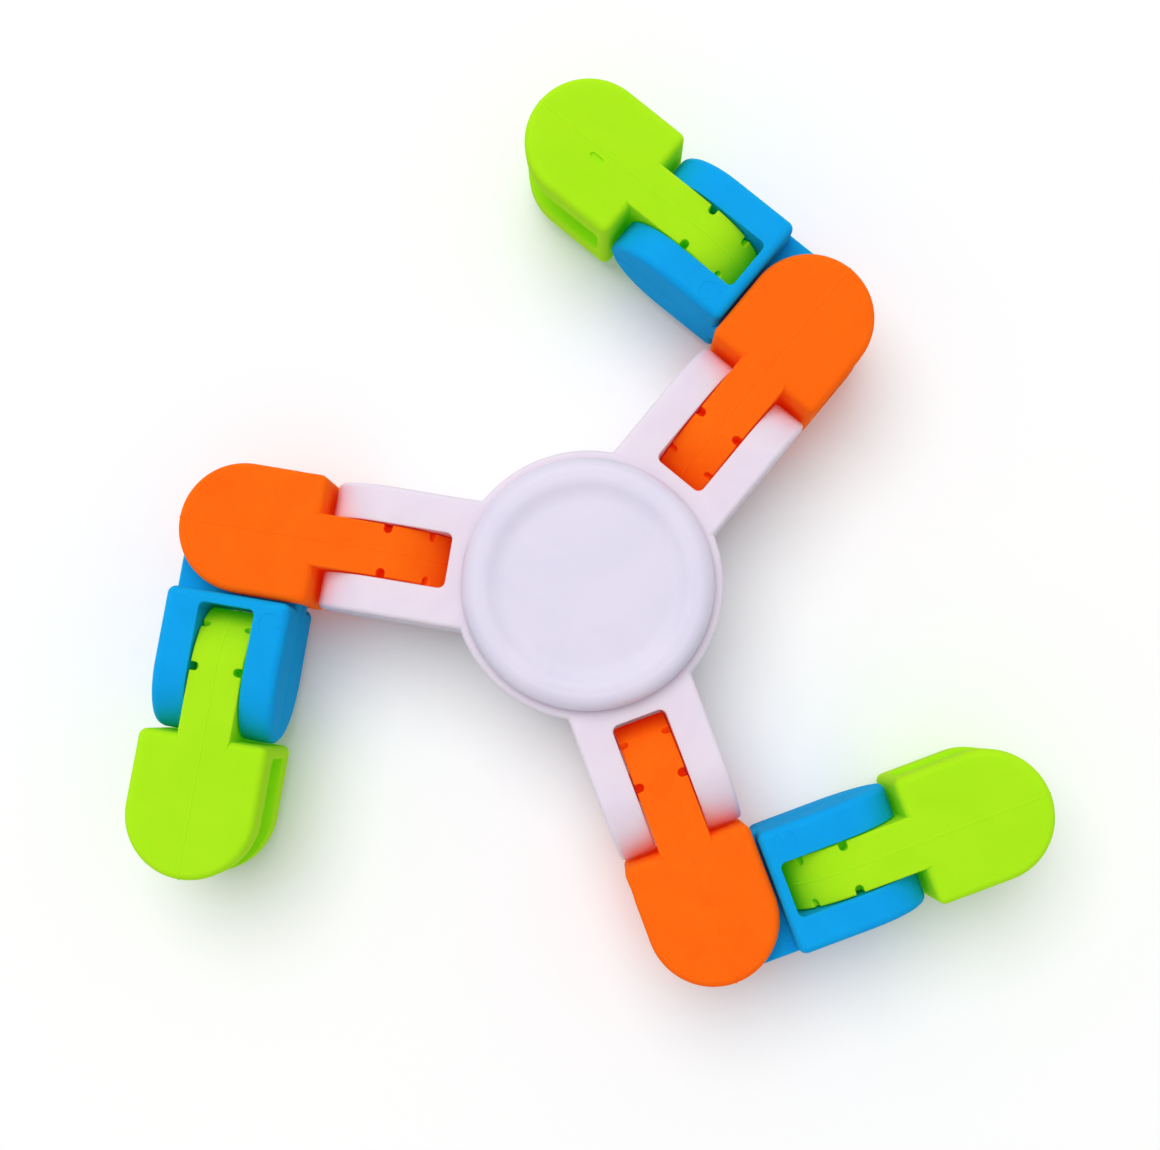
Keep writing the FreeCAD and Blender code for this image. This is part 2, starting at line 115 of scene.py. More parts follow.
def prism(name, outline, half, plane="XY", rounding=0.0, steps=3, skip=None, cornerOver=40):
    # a closed outline given depth both ways from its plane, with its rims rounded
    # skip picks the rims that stay sharp; without it the outline's corners are rounded too
    bm = bmesh.new()
    corners = []
    for a, b in outline:
        corners.append(bm.verts.new((a, b, -half) if plane == "XY" else (a, half, b)))
    face = bm.faces.new(corners)
    moved = bmesh.ops.extrude_face_region(bm, geom=[face])
    shift = Vector((0, 0, 2 * half)) if plane == "XY" else Vector((0, -2 * half, 0))
    farVerts = [v for v in moved["geom"] if isinstance(v, bmesh.types.BMVert)]
    bmesh.ops.translate(bm, vec=shift, verts=farVerts)
    bmesh.ops.recalc_face_normals(bm, faces=bm.faces)
    if rounding:
        depth = 2 if plane == "XY" else 1
        rims = []
        for edge in bm.edges:
            a, b = (v.co for v in edge.verts)
            onRim = abs(abs(a[depth]) - half) < close and abs(a[depth] - b[depth]) < close
            if onRim and not (skip and skip(a, b)):
                rims.append(edge)
            elif not onRim and not skip and edge.calc_face_angle(0) > math.radians(cornerOver):
                rims.append(edge)
        bmesh.ops.bevel(bm, geom=rims, offset=rounding, offset_type="OFFSET", segments=steps,
                        profile=0.5, affect="EDGES", clamp_overlap=False)
    return workObject(name, meshFrom(name, bm))


def lathe(name, profile, segments):
    # profile: (radius, height) points from the axis round to the axis
    bm = bmesh.new()
    columns = []
    for index in range(segments):
        angle = 2 * math.pi * index / segments
        column = []
        for radius, height in profile:
            place = (radius * math.cos(angle), radius * math.sin(angle), height)
            column.append(None if radius < onAxis else bm.verts.new(place))
        columns.append(column)
    poles = {k: bm.verts.new((0, 0, height)) for k, (radius, height) in enumerate(profile)
             if radius < onAxis}
    for index in range(segments):
        here, there = columns[index], columns[(index + 1) % segments]
        for k in range(len(profile)):
            after = (k + 1) % len(profile)
            ring = []
            for vert in (here[k] or poles[k], there[k] or poles[k],
                         there[after] or poles[after], here[after] or poles[after]):
                if vert not in ring:
                    ring.append(vert)
            if len(ring) > 2:
                bm.faces.new(ring)
    return workObject(name, meshFrom(name, bm))


def endAt(x):
    # a skip for prism: the rim at this x ends inside another shape and stays sharp
    return lambda a, b: abs(a[0] - x) < close and abs(b[0] - x) < close


tipOver = {"Z": 0, "-Z": 180, "Y": -90, "-Y": 90}     # degrees round X that point Z that way


def roundPost(radius, low, high, rounding, axis, at, segments=40):
    # a round peg with its upper rim rounded, made along Z and then tipped
    profile = [(0, low), (radius, low), (radius, high - rounding)]
    for angle in (60, 30, 0):
        bend = math.radians(angle)
        profile.append((radius - rounding + rounding * math.sin(bend),
                        high - rounding + rounding * math.cos(bend)))
    profile.append((0, high))
    post = lathe("post", profile, segments)
    turn = Matrix.Rotation(math.radians(tipOver[axis]), 4, "X")
    post.data.transform(Matrix.Translation(at) @ turn)
    return post


def box(low, high):
    bm = bmesh.new()
    bmesh.ops.create_cube(bm, size=1.0)
    for vert in bm.verts:
        for k in range(3):
            vert.co[k] = low[k] if vert.co[k] < 0 else high[k]
    return workObject("box", meshFrom("box", bm))


def slotCutter(start, far, wall, reach, plane, rounding, steps=4):
    # what clears a fork's slot, with its two inner corners rounded
    gap = [(start, -wall), (far, -wall), (far, wall), (start, wall)]
    slot = prism("slot", gap, reach, plane)
    across = 1 if plane == "XY" else 2
    bm = bmesh.new()
    bm.from_mesh(slot.data)
    inner = [edge for edge in bm.edges if all(abs(v.co.x - start) < close for v in edge.verts)
             and abs(edge.verts[0].co[across] - edge.verts[1].co[across]) < close]
    bmesh.ops.bevel(bm, geom=inner, offset=rounding, segments=steps, profile=0.5, affect="EDGES")
    bm.to_mesh(slot.data)
    bm.free()
    return slot


def softenCorners(obj, width, segments=2, cornerOver=35, merge=0.002, flatUnder=0.5):
    # joins the faces of a cut shape where they are flat, then rounds the corners that are left
    bm = bmesh.new()
    bm.from_mesh(obj.data)
    bmesh.ops.remove_doubles(bm, verts=bm.verts, dist=merge)
    bmesh.ops.dissolve_limit(bm, angle_limit=math.radians(flatUnder), verts=bm.verts,
                             edges=bm.edges, use_dissolve_boundaries=False)
    bm.to_mesh(obj.data)
    bm.free()
    bevel = obj.modifiers.new("corners", "BEVEL")
    bevel.width = width
    bevel.segments = segments
    bevel.limit_method = "ANGLE"
    bevel.angle_limit = math.radians(cornerOver)
    bevel.use_clamp_overlap = False
    bevel.miter_outer = "MITER_SHARP"
    bakeModifiers(obj)
    return obj


def mergeSlivers(obj, merge=0.001):
    # points that a cut left almost on top of each other become one
    bm = bmesh.new()
    bm.from_mesh(obj.data)
    bmesh.ops.remove_doubles(bm, verts=bm.verts, dist=merge)
    bmesh.ops.dissolve_degenerate(bm, edges=bm.edges, dist=merge)
    bm.to_mesh(obj.data)
    bm.free()
    return obj


def smoothNormals(obj, sharpOver=55):
    for face in obj.data.polygons:
        face.use_smooth = True
    obj.data.set_sharp_from_angle(angle=math.radians(sharpOver))
    weighted = obj.modifiers.new("normals", "WEIGHTED_NORMAL")
    weighted.keep_sharp = True
    weighted.weight = 60
    bakeModifiers(obj)
    return obj


def placePiece(name, mesh, place, material, body, slot, *nodes):
    # a finished copy of a mesh: turned, moved and sized in its vertices, its object at the origin
    copy = mesh.copy()
    copy.name = name
    copy.transform(Matrix.Scale(millimetre, 4) @ place)
    copy.materials.clear()
    copy.materials.append(material)
    piece = bpy.data.objects.new(name, copy)
    bpy.context.scene.collection.objects.link(piece)
    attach(piece, body)
    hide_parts(*nodes)
    return piece


# Node trees for what repeats and for what follows a path

def inputSocket(tree, name, kind, value=None):
    socket = tree.interface.new_socket(name=name, in_out="INPUT", socket_type=kind)
    if value is not None:
        socket.default_value = value
    return socket


def mathNode(tree, operation):
    node = tree.nodes.new("ShaderNodeMath")
    node.operation = operation
    return node


def colourMix(tree):
    node = tree.nodes.new("ShaderNodeMix")
    node.data_type = "RGBA"
    return node


def finishTree(tree, source, groupIn):
    # every tree ends in real faces with their material set
    realize = tree.nodes.new("GeometryNodeRealizeInstances")
    setMaterial = tree.nodes.new("GeometryNodeSetMaterial")
    groupOut = tree.nodes.new("NodeGroupOutput")
    tree.links.new(source, realize.inputs["Geometry"])
    tree.links.new(realize.outputs["Geometry"], setMaterial.inputs["Geometry"])
    tree.links.new(groupIn.outputs["Material"], setMaterial.inputs["Material"])
    tree.links.new(setMaterial.outputs["Geometry"], groupOut.inputs["Geometry"])


def buildRingTree():
    # repeats the piece that it is given round an axis
    tree = bpy.data.node_groups.new("ringOfCopies", "GeometryNodeTree")
    inputSocket(tree, "Geometry", "NodeSocketGeometry")
    inputSocket(tree, "Copies", "NodeSocketInt", 3)
    inputSocket(tree, "Start Angle", "NodeSocketFloat", 0.0)
    inputSocket(tree, "Step Angle", "NodeSocketFloat", 120.0)
    inputSocket(tree, "Axis", "NodeSocketVector", (0.0, 0.0, 1.0))
    inputSocket(tree, "Material", "NodeSocketMaterial")
    tree.interface.new_socket(name="Geometry", in_out="OUTPUT", socket_type="NodeSocketGeometry")
    nodes, links = tree.nodes, tree.links
    groupIn = nodes.new("NodeGroupInput")
    points = nodes.new("GeometryNodePoints")
    index = nodes.new("GeometryNodeInputIndex")
    turn = mathNode(tree, "MULTIPLY_ADD")
    radians = mathNode(tree, "RADIANS")
    rotation = nodes.new("FunctionNodeAxisAngleToRotation")
    instances = nodes.new("GeometryNodeInstanceOnPoints")
    links.new(groupIn.outputs["Copies"], points.inputs["Count"])
    links.new(index.outputs[0], turn.inputs[0])
    links.new(groupIn.outputs["Step Angle"], turn.inputs[1])
    links.new(groupIn.outputs["Start Angle"], turn.inputs[2])
    links.new(turn.outputs[0], radians.inputs[0])
    links.new(groupIn.outputs["Axis"], rotation.inputs["Axis"])
    links.new(radians.outputs[0], rotation.inputs["Angle"])
    links.new(points.outputs[0], instances.inputs["Points"])
    links.new(groupIn.outputs["Geometry"], instances.inputs["Instance"])
    links.new(rotation.outputs[0], instances.inputs["Rotation"])
    finishTree(tree, instances.outputs[0], groupIn)
    return tree


def buildBeadTree():
    # a thin round bead along the edges that it is given
    tree = bpy.data.node_groups.new("beadAlongPath", "GeometryNodeTree")
    inputSocket(tree, "Geometry", "NodeSocketGeometry")
    inputSocket(tree, "Bead Radius", "NodeSocketFloat", 0.1)
    inputSocket(tree, "Sides", "NodeSocketInt", 6)
    inputSocket(tree, "Material", "NodeSocketMaterial")
    tree.interface.new_socket(name="Geometry", in_out="OUTPUT", socket_type="NodeSocketGeometry")
    nodes, links = tree.nodes, tree.links
    groupIn = nodes.new("NodeGroupInput")
    path = nodes.new("GeometryNodeMeshToCurve")
    section = nodes.new("GeometryNodeCurvePrimitiveCircle")
    sweep = nodes.new("GeometryNodeCurveToMesh")
    sweep.inputs["Fill Caps"].default_value = True
    links.new(groupIn.outputs["Geometry"], path.inputs["Mesh"])
    links.new(groupIn.outputs["Bead Radius"], section.inputs["Radius"])
    links.new(groupIn.outputs["Sides"], section.inputs["Resolution"])
    links.new(path.outputs[0], sweep.inputs["Curve"])
    links.new(section.outputs[0], sweep.inputs["Profile Curve"])
    finishTree(tree, sweep.outputs[0], groupIn)
    return tree


ringTree = buildRingTree()
beadTree = buildBeadTree()


def runTree(obj, tree, **values):
    # values are named like the tree's inputs: startAngle goes to Start Angle
    # the material stays empty here, since placePiece gives each finished piece its own
    step = obj.modifiers.new(tree.name, "NODES")
    step.node_group = tree
    for item in tree.interface.items_tree:
        if item.item_type == "SOCKET" and item.in_out == "INPUT":
            key = item.name.replace(" ", "")
            key = key[0].lower() + key[1:]
            if key in values:
                step[item.identifier] = values[key]
    return bakeModifiers(obj)


def beadPath(name, points):
    mesh = bpy.data.meshes.new(name)
    mesh.from_pydata(points, [(k, k + 1) for k in range(len(points) - 1)], [])
    return workObject(name, mesh)


# Materials

def groupNode(material, tree, **values):
    node = material.node_tree.nodes.new("ShaderNodeGroup")
    node.node_tree = tree
    for name, value in values.items():
        node.inputs[name.replace("_", " ")].default_value = value
    return node


def buildMouldedGroup():
    # the skin of a moulded part: slow flow marks in the colour, a fine even grain, faint rub marks
    tree = bpy.data.node_groups.new("mouldedSkin", "ShaderNodeTree")
    inputSocket(tree, "Colour", "NodeSocketColor", (0.8, 0.8, 0.8, 1.0))
    inputSocket(tree, "Flow Colour", "NodeSocketColor", (0.7, 0.7, 0.7, 1.0))
    inputSocket(tree, "Flow Size", "NodeSocketFloat", 120.0)
    inputSocket(tree, "Flow Amount", "NodeSocketFloat", 0.5)
    inputSocket(tree, "Grain Size", "NodeSocketFloat", 5000.0)
    inputSocket(tree, "Roughness", "NodeSocketFloat", 0.4)
    inputSocket(tree, "Rub Amount", "NodeSocketFloat", 0.1)
    for name, kind in (("Colour", "NodeSocketColor"), ("Roughness", "NodeSocketFloat"),
                       ("Height", "NodeSocketFloat")):
        tree.interface.new_socket(name=name, in_out="OUTPUT", socket_type=kind)
    nodes, links = tree.nodes, tree.links
    groupIn, groupOut = nodes.new("NodeGroupInput"), nodes.new("NodeGroupOutput")
    coords = nodes.new("ShaderNodeTexCoord")
    flow = nodes.new("ShaderNodeTexNoise")
    flow.inputs["Detail"].default_value = 3.0
    flow.inputs["Distortion"].default_value = 1.2
    flowSteps = nodes.new("ShaderNodeMapRange")
    flowSteps.inputs["From Min"].default_value = 0.35
    flowSteps.inputs["From Max"].default_value = 0.70
    flowShare = mathNode(tree, "MULTIPLY")
    tint = colourMix(tree)
    grain = nodes.new("ShaderNodeTexNoise")
    grain.inputs["Detail"].default_value = 4.0
    grain.inputs["Roughness"].default_value = 0.65
    rub = nodes.new("ShaderNodeTexNoise")
    rub.inputs["Scale"].default_value = 420.0
    rub.inputs["Detail"].default_value = 6.0
    rub.inputs["Distortion"].default_value = 3.0
    rubSteps = nodes.new("ShaderNodeMapRange")
    rubSteps.inputs["From Min"].default_value = 0.56
    rubSteps.inputs["From Max"].default_value = 0.70
    rubShare = mathNode(tree, "MULTIPLY_ADD")
    for texture in (flow, grain, rub):
        links.new(coords.outputs["Object"], texture.inputs["Vector"])
    links.new(groupIn.outputs["Flow Size"], flow.inputs["Scale"])
    links.new(flow.outputs["Fac"], flowSteps.inputs["Value"])
    links.new(flowSteps.outputs[0], flowShare.inputs[0])
    links.new(groupIn.outputs["Flow Amount"], flowShare.inputs[1])
    links.new(flowShare.outputs[0], tint.inputs["Factor"])
    links.new(groupIn.outputs["Colour"], tint.inputs["A"])
    links.new(groupIn.outputs["Flow Colour"], tint.inputs["B"])
    links.new(tint.outputs["Result"], groupOut.inputs["Colour"])
    links.new(groupIn.outputs["Grain Size"], grain.inputs["Scale"])
    links.new(grain.outputs["Fac"], groupOut.inputs["Height"])
    links.new(rub.outputs["Fac"], rubSteps.inputs["Value"])
    links.new(rubSteps.outputs[0], rubShare.inputs[0])
    links.new(groupIn.outputs["Rub Amount"], rubShare.inputs[1])
    links.new(groupIn.outputs["Roughness"], rubShare.inputs[2])
    links.new(rubShare.outputs[0], groupOut.inputs["Roughness"])
    return tree


mouldedSkin = buildMouldedGroup()


def fromHex(code):
    # a screen colour as the renderer's own linear values, by the screen's standard curve
    colour = []
    for k in (0, 2, 4):
        part = int(code[k:k + 2], 16) / 255
        colour.append(part / 12.92 if part <= 0.04045 else ((part + 0.055) / 1.055) ** 2.4)
    return (*colour, 1.0)


moulded = {
    "rubAmount": 0.08,
    "grainStrength": 0.25,
    "grainDepth": 0.00001,     # metres
    "refraction": 1.5,
}


def mouldedPlastic(name, colour, flowColour, finish, bleed, depth, share,
                   glow=(0.0, 0.0, 0.0), flowSize=120.0):
    # finish: roughness and specular level
    # bleed, depth and share: the tint of the light that wanders inside, how far it goes,
    # in metres, and how much of it does
    # the emission colour is painted light: a glow in the part's own hue that lifts its shaded gaps
    # and notches under any lamp
    material = bpy.data.materials.new(name)
    material.use_nodes = True
    tree = material.node_tree
    shader = tree.nodes["Principled BSDF"]
    roughness, specular = finish
    skin = groupNode(material, mouldedSkin, Colour=fromHex(colour), Flow_Colour=fromHex(flowColour),
                     Flow_Size=flowSize, Roughness=roughness, Rub_Amount=moulded["rubAmount"])
    bump = tree.nodes.new("ShaderNodeBump")
    bump.inputs["Strength"].default_value = moulded["grainStrength"]
    bump.inputs["Distance"].default_value = moulded["grainDepth"]
    tree.links.new(skin.outputs["Colour"], shader.inputs["Base Color"])
    tree.links.new(skin.outputs["Roughness"], shader.inputs["Roughness"])
    tree.links.new(skin.outputs["Height"], bump.inputs["Height"])
    tree.links.new(bump.outputs["Normal"], shader.inputs["Normal"])
    shader.inputs["IOR"].default_value = moulded["refraction"]
    shader.inputs["Specular IOR Level"].default_value = specular
    shader.inputs["Subsurface Weight"].default_value = share
    shader.inputs["Subsurface Radius"].default_value = bleed
    shader.inputs["Subsurface Scale"].default_value = depth
    # painted glow: the emission shines without a lamp and brightens the part's shade
    shader.inputs["Emission Color"].default_value = (*glow, 1.0)
    shader.inputs["Emission Strength"].default_value = 1.0 if any(glow) else 0.0
    return material


def bareMetal(name, colour, roughness, rings):
    # rings: how strongly the turning marks show
    material = bpy.data.materials.new(name)
    material.use_nodes = True
    tree = material.node_tree
    shader = tree.nodes["Principled BSDF"]
    coords = tree.nodes.new("ShaderNodeTexCoord")
    turned = tree.nodes.new("ShaderNodeTexWave")
    turned.wave_type = "RINGS"
    turned.rings_direction = "Z"
    turned.inputs["Scale"].default_value = 900.0
    turned.inputs["Distortion"].default_value = 1.5
    turned.inputs["Detail"].default_value = 2.0
    spread = tree.nodes.new("ShaderNodeMapRange")
    spread.inputs["To Min"].default_value = roughness
    spread.inputs["To Max"].default_value = roughness + rings
    tree.links.new(coords.outputs["Object"], turned.inputs["Vector"])
    tree.links.new(turned.outputs["Fac"], spread.inputs["Value"])
    tree.links.new(spread.outputs[0], shader.inputs["Roughness"])
    shader.inputs["Base Color"].default_value = fromHex(colour)
    shader.inputs["Metallic"].default_value = 1.0
    return material


satin, dull = (0.78, 0.05), (0.55, 0.30)     # roughness and specular level
materials = {
    "frame_shell": mouldedPlastic("mouldedLavenderWhite", "ECE0EE", "E4D6EA", (0.45, 0.30),
                                  bleed=(1.0, 0.60, 0.75), depth=0.0024, share=0.45),
    "finger_pad": mouldedPlastic("mouldedPaleLilac", "E4DEF0", "DAD5EA", (0.42, 0.40),
                                 bleed=(1.0, 0.80, 0.90), depth=0.0016, share=0.35,
                                 flowSize=70.0),
    # the orange and the lime carry a painted glow that lights their shaded gaps and notches red and
    # green
    "link_orange": mouldedPlastic("mouldedOrange", "EA7010", "EA660A", satin,
                                  bleed=(1.0, 0.20, 0.06), depth=0.0024, share=0.40,
                                  glow=(0.22, 0.003, 0.0)),
    "link_blue": mouldedPlastic("mouldedSkyBlue", "10A9F0", "0C9FE8", satin,
                                bleed=(0.05, 0.45, 1.0), depth=0.0020, share=0.35),
    "link_green": mouldedPlastic("mouldedLime", "B4E01E", "AADC16", satin,
                                 bleed=(0.40, 1.0, 0.08), depth=0.0024, share=0.40,
                                 glow=(0.0, 0.12, 0.0)),
    "cage_nylon": mouldedPlastic("nylonIvory", "E9E2CE", "DFD6BE", dull,
                                 bleed=(1.0, 0.80, 0.60), depth=0.0010, share=0.20),
    "bearing_steel": bareMetal("groundSteel", "B8BCC2", roughness=0.18, rings=0.12),
    "shield_steel": bareMetal("pressedSteel", "A9ADB3", roughness=0.28, rings=0.16),
}
print("materials made:", len(materials))


# Click links: one mesh, placed nine times

link = {
    "tongueRadius": 6.5,
    "tongueThickness": 5.5,
    "headRadius": 6.8,
    "headHeight": 13.0,
    "shoulder": 7.1,           # tongue pivot to the head's flat end
    "slotBottom": 8.3,
    "slotHeight": 5.8,
    "pitch": 15.0,             # tongue pivot to fork pivot
    "headRound": 0.85,
    "headSteps": 6,
    "tongueRound": 0.2,
    "slotRound": 0.6,
    "tongueRoot": 8.25,
    "notchWidth": 0.9,
    "notchDepth": 0.9,
    "notchStart": 3.6,
    "notches": 5,
    "grooveSteps": 10,
    "dimpleRadius": 1.55,
    "dimpleDepth": 0.75,
    "dimpleRound": 0.25,
    "nubRadius": 1.5,
    "nubHeight": 0.8,
    "nubRound": 0.2,
    "ribStart": 4.2,
    "ribEnd": 6.2,
    "ribWidth": 0.6,
    "ribHeight": 0.1,
    "nubRoot": 0.6,
    "seamRadius": 0.13,
    "seamSunk": 0.06,
    "seamStart": 0.4,          # how far outside the slot the parting line begins
    "seamSides": 8,
    "seamSteps": 24,
    "gateLength": 1.7,         # the mark where the mould was filled
    "gateWidth": 0.65,
    "gateDepth": 0.28,
    "gateRound": 0.12,
    "gateSteps": 10,
    "gatePlace": (13.0, 1.05),
    "ejectorRadius": 1.25,     # the round marks left by the mould's pins
    "ejectorDepth": 0.05,
    "ejectorRound": 0.04,
    "ejectorPlace": (9.6, -4.75),
    "corner": 0.09,
    "arcSteps": 64,
}


def notchCutter(size):
    # one half-round groove in the tongue's upper rim, with its twin on the other face
    radius = size["notchWidth"] / 2
    face = size["tongueThickness"] / 2
    floor = face - size["notchDepth"] + radius
    above, tip = face + overshoot, size["tongueRadius"] + overshoot
    groove = arcPoints((0, floor), radius, 0, -180, size["grooveSteps"])
    section = [(radius, above), *groove, (-radius, above)]
    bm = bmesh.new()
    for side in (1, -1):
        near = [bm.verts.new((x, side * y, size["notchStart"])) for x, y in section]
        far = [bm.verts.new((x, side * y, tip)) for x, y in section]
        bm.faces.new(near)
        bm.faces.new(far)
        for k in range(len(section)):
            n = (k + 1) % len(section)
            bm.faces.new((near[k], near[n], far[n], far[k]))
    return workObject("notch", meshFrom("notch", bm))


def buildLink(size):
    pitch, face = size["pitch"], size["tongueThickness"] / 2
    half, slotHalf = size["headHeight"] / 2, size["slotHeight"] / 2
    plan = [(size["shoulder"], -size["headRadius"])]
    plan += arcPoints((pitch, 0), size["headRadius"], -90, 90, size["arcSteps"])
    plan += [(size["shoulder"], size["headRadius"])]
    body = prism("head", plan, half, "XY", size["headRound"], size["headSteps"])

    radius, root = size["tongueRadius"], size["tongueRoot"]
    side = [(root, radius), *arcPoints((0, 0), radius, 90, 270, size["arcSteps"]), (root, -radius)]
    tongue = prism("tongue", side, face, "XZ", size["tongueRound"], skip=endAt(root))
    cutters = runTree(notchCutter(size), ringTree, copies=size["notches"], startAngle=0.0,
                      stepAngle=-180.0 / (size["notches"] - 1), axis=(0.0, 1.0, 0.0))
    combine(tongue, "DIFFERENCE", cutters)
    for way, axis in ((1, "-Y"), (-1, "Y")):
        dimple = roundPost(size["dimpleRadius"], -overshoot, size["dimpleDepth"],
                           size["dimpleRound"], axis, (0, way * face, 0))
        combine(tongue, "DIFFERENCE", dimple)
    combine(body, "UNION", tongue)

    far = pitch + 2 * size["headRadius"]
    combine(body, "DIFFERENCE", slotCutter(size["slotBottom"], far, slotHalf,
                                           size["headRadius"] + overshoot, "XZ",
                                           size["slotRound"]))
    for way, axis in ((1, "-Z"), (-1, "Z")):
        nub = roundPost(size["nubRadius"], -size["nubRoot"], size["nubHeight"], size["nubRound"],
                        axis, (pitch, 0, way * slotHalf))
        low, high = sorted((way * (slotHalf + size["nubRoot"]),
                            way * (slotHalf - size["ribHeight"])))
        rib = box((pitch - size["ribEnd"], -size["ribWidth"] / 2, low),
                  (pitch - size["ribStart"], size["ribWidth"] / 2, high))
        combine(body, "UNION", nub, rib)
    softenCorners(body, size["corner"])

    run = (size["gateLength"] - size["gateWidth"]) / 2
    gateX, gateY = size["gatePlace"]
    gatePlan = arcPoints((gateX + run, gateY), size["gateWidth"] / 2, -90, 90, size["gateSteps"])
    gatePlan += arcPoints((gateX - run, gateY), size["gateWidth"] / 2, 90, 270, size["gateSteps"])
    gate = prism("gate", gatePlan, size["gateDepth"], "XY", size["gateRound"])
    gate.data.transform(Matrix.Translation((0, 0, half)))
    ejectorX, ejectorZ = size["ejectorPlace"]
    pin = roundPost(size["ejectorRadius"], -overshoot, size["ejectorDepth"],
                    size["ejectorRound"], "-Y", (ejectorX, size["headRadius"], ejectorZ))
    combine(body, "DIFFERENCE", gate, pin)

    # the mould's parting line runs round the outside, in the plane of the fork pivot
    sunk, bend = size["seamSunk"], size["headRound"]
    cornerX, cornerZ = pitch + size["headRadius"] - bend, half - bend
    line = [(cornerX + bend - sunk, slotHalf + size["seamStart"])]
    line += arcPoints((cornerX, cornerZ), bend - sunk, 0, 90, size["headSteps"])
    line += arcPoints((0, 0), radius - sunk, 90, 180, size["seamSteps"])
    seam = [(x, 0, z) for x, z in line] + [(x, 0, -z) for x, z in reversed(line[:-1])]
    bead = runTree(beadPath("seam", seam), beadTree, beadRadius=size["seamRadius"],
                   sides=size["seamSides"])
    combine(body, "UNION", bead)
    return smoothNormals(mergeSlivers(body))


linkMesh = buildLink(link).data
print("link mesh:", len(linkMesh.polygons), "faces")

linkRows = (("inner", "link_orange"), ("middle", "link_blue"), ("outer", "link_green"))
gateUp = {"outer_c", "middle_a", "middle_b", "middle_c"}     # filling mark above, not beneath


def linkPlace(pivot, along, pivotAxis):
    across = along.cross(pivotAxis)
    turn = Matrix((along, pivotAxis, across)).transposed().to_4x4()
    return Matrix.Translation(pivot) @ turn


armNames = [name[-1] for name in jointPlace if name.startswith("inner_fold_")]
for arm in armNames:
    pivots = [jointPlace[f"{row}_fold_{arm}"] for row, _ in linkRows]
    outward = (pivots[1] - pivots[0]).normalized()
    sideways = (pivots[2] - pivots[1]).normalized()
    places = (linkPlace(pivots[0], outward, sideways), linkPlace(pivots[1], sideways, up),
              linkPlace(pivots[2], sideways, -outward))
    for (row, slot), place in zip(linkRows, places):
        body = f"{row}_{arm}"
        if body not in gateUp:
            place = place @ Matrix.Rotation(math.pi, 4, "X")
        placePiece(f"{row}Link_{arm}", linkMesh, place, materials[slot], body, slot,
                   f"{row}_link_{arm}")
print("links placed:", len(linkRows) * len(armNames))


# The three-armed frame

shell = {
    "hubRadius": 14.0,
    "half": 6.8,               # half the thickness, and the radius of an arm's end
    "armHalf": 6.75,
    "reach": (jointPlace["inner_fold_a"] - middle).length,
    "rounding": 0.5,
    "roundSteps": 4,
    "turnSteps": 120,
    "armStart": 2.0,           # inside the hub, where an arm's shape begins
    "slotStart": 14.6,
    "slotHalf": 2.9,
    "slotRound": 0.7,
    "seatRadius": 11.0,
    "seatFloor": -3.5,
    "lipRadius": 10.0,
    "corner": 0.12,
}


def onEachArm(obj):
    return runTree(obj, ringTree, copies=len(armNames), startAngle=0.0,
                   stepAngle=360.0 / len(armNames), axis=(0.0, 0.0, 1.0))


def buildFrame(size):
    half, rounding, reach = size["half"], size["rounding"], size["reach"]
    steps, turnSteps = size["roundSteps"], size["turnSteps"]
    rim = size["hubRadius"] - rounding
    profile = [(0, -half), *arcPoints((rim, rounding - half), rounding, -90, 0, steps),
               *arcPoints((rim, half - rounding), rounding, 0, 90, steps), (0, half)]
    body = lathe("hub", profile, turnSteps)
    root = size["armStart"]
    side = [(root, -half), *arcPoints((reach, 0), half, -90, 90, link["arcSteps"]), (root, half)]
    arms = onEachArm(prism("arm", side, size["armHalf"], "XZ", rounding, steps, skip=endAt(root)))
    combine(body, "UNION", arms, overlapping=True)

    far, high, wall = reach + 2 * half, half + overshoot, size["slotHalf"]
    slots = onEachArm(slotCutter(size["slotStart"], far, wall, high, "XY", size["slotRound"]))
    combine(body, "DIFFERENCE", slots)
    for radius, low in ((size["seatRadius"], size["seatFloor"]), (size["lipRadius"], -high)):
        bore = lathe("bore", [(0, low), (radius, low), (radius, high), (0, high)], turnSteps)
        combine(body, "DIFFERENCE", bore)
    for way, axis in ((1, "-Y"), (-1, "Y")):
        nub = roundPost(link["nubRadius"], -link["nubRoot"], link["nubHeight"], link["nubRound"],
                        axis, (reach, way * wall, 0))
        low, top = sorted((way * (wall + link["nubRoot"]), way * (wall - link["ribHeight"])))
        rib = box((reach - link["ribEnd"], low, -link["ribWidth"] / 2),
                  (reach - link["ribStart"], top, link["ribWidth"] / 2))
        for grip in (nub, rib):
            combine(body, "UNION", onEachArm(grip))
    softenCorners(body, size["corner"])
    return smoothNormals(body)


frameMesh = buildFrame(shell).data
outward = (jointPlace["inner_fold_a"] - middle).normalized()
framePlace = Matrix.Translation(middle) @ Matrix.Rotation(math.atan2(outward.y, outward.x), 4, "Z")
placePiece("spinnerFrame", frameMesh, framePlace, materials["frame_shell"], "rotor", "frame_shell",
           "frame")
print("frame mesh:", len(frameMesh.polygons), "faces")


# Finger pads

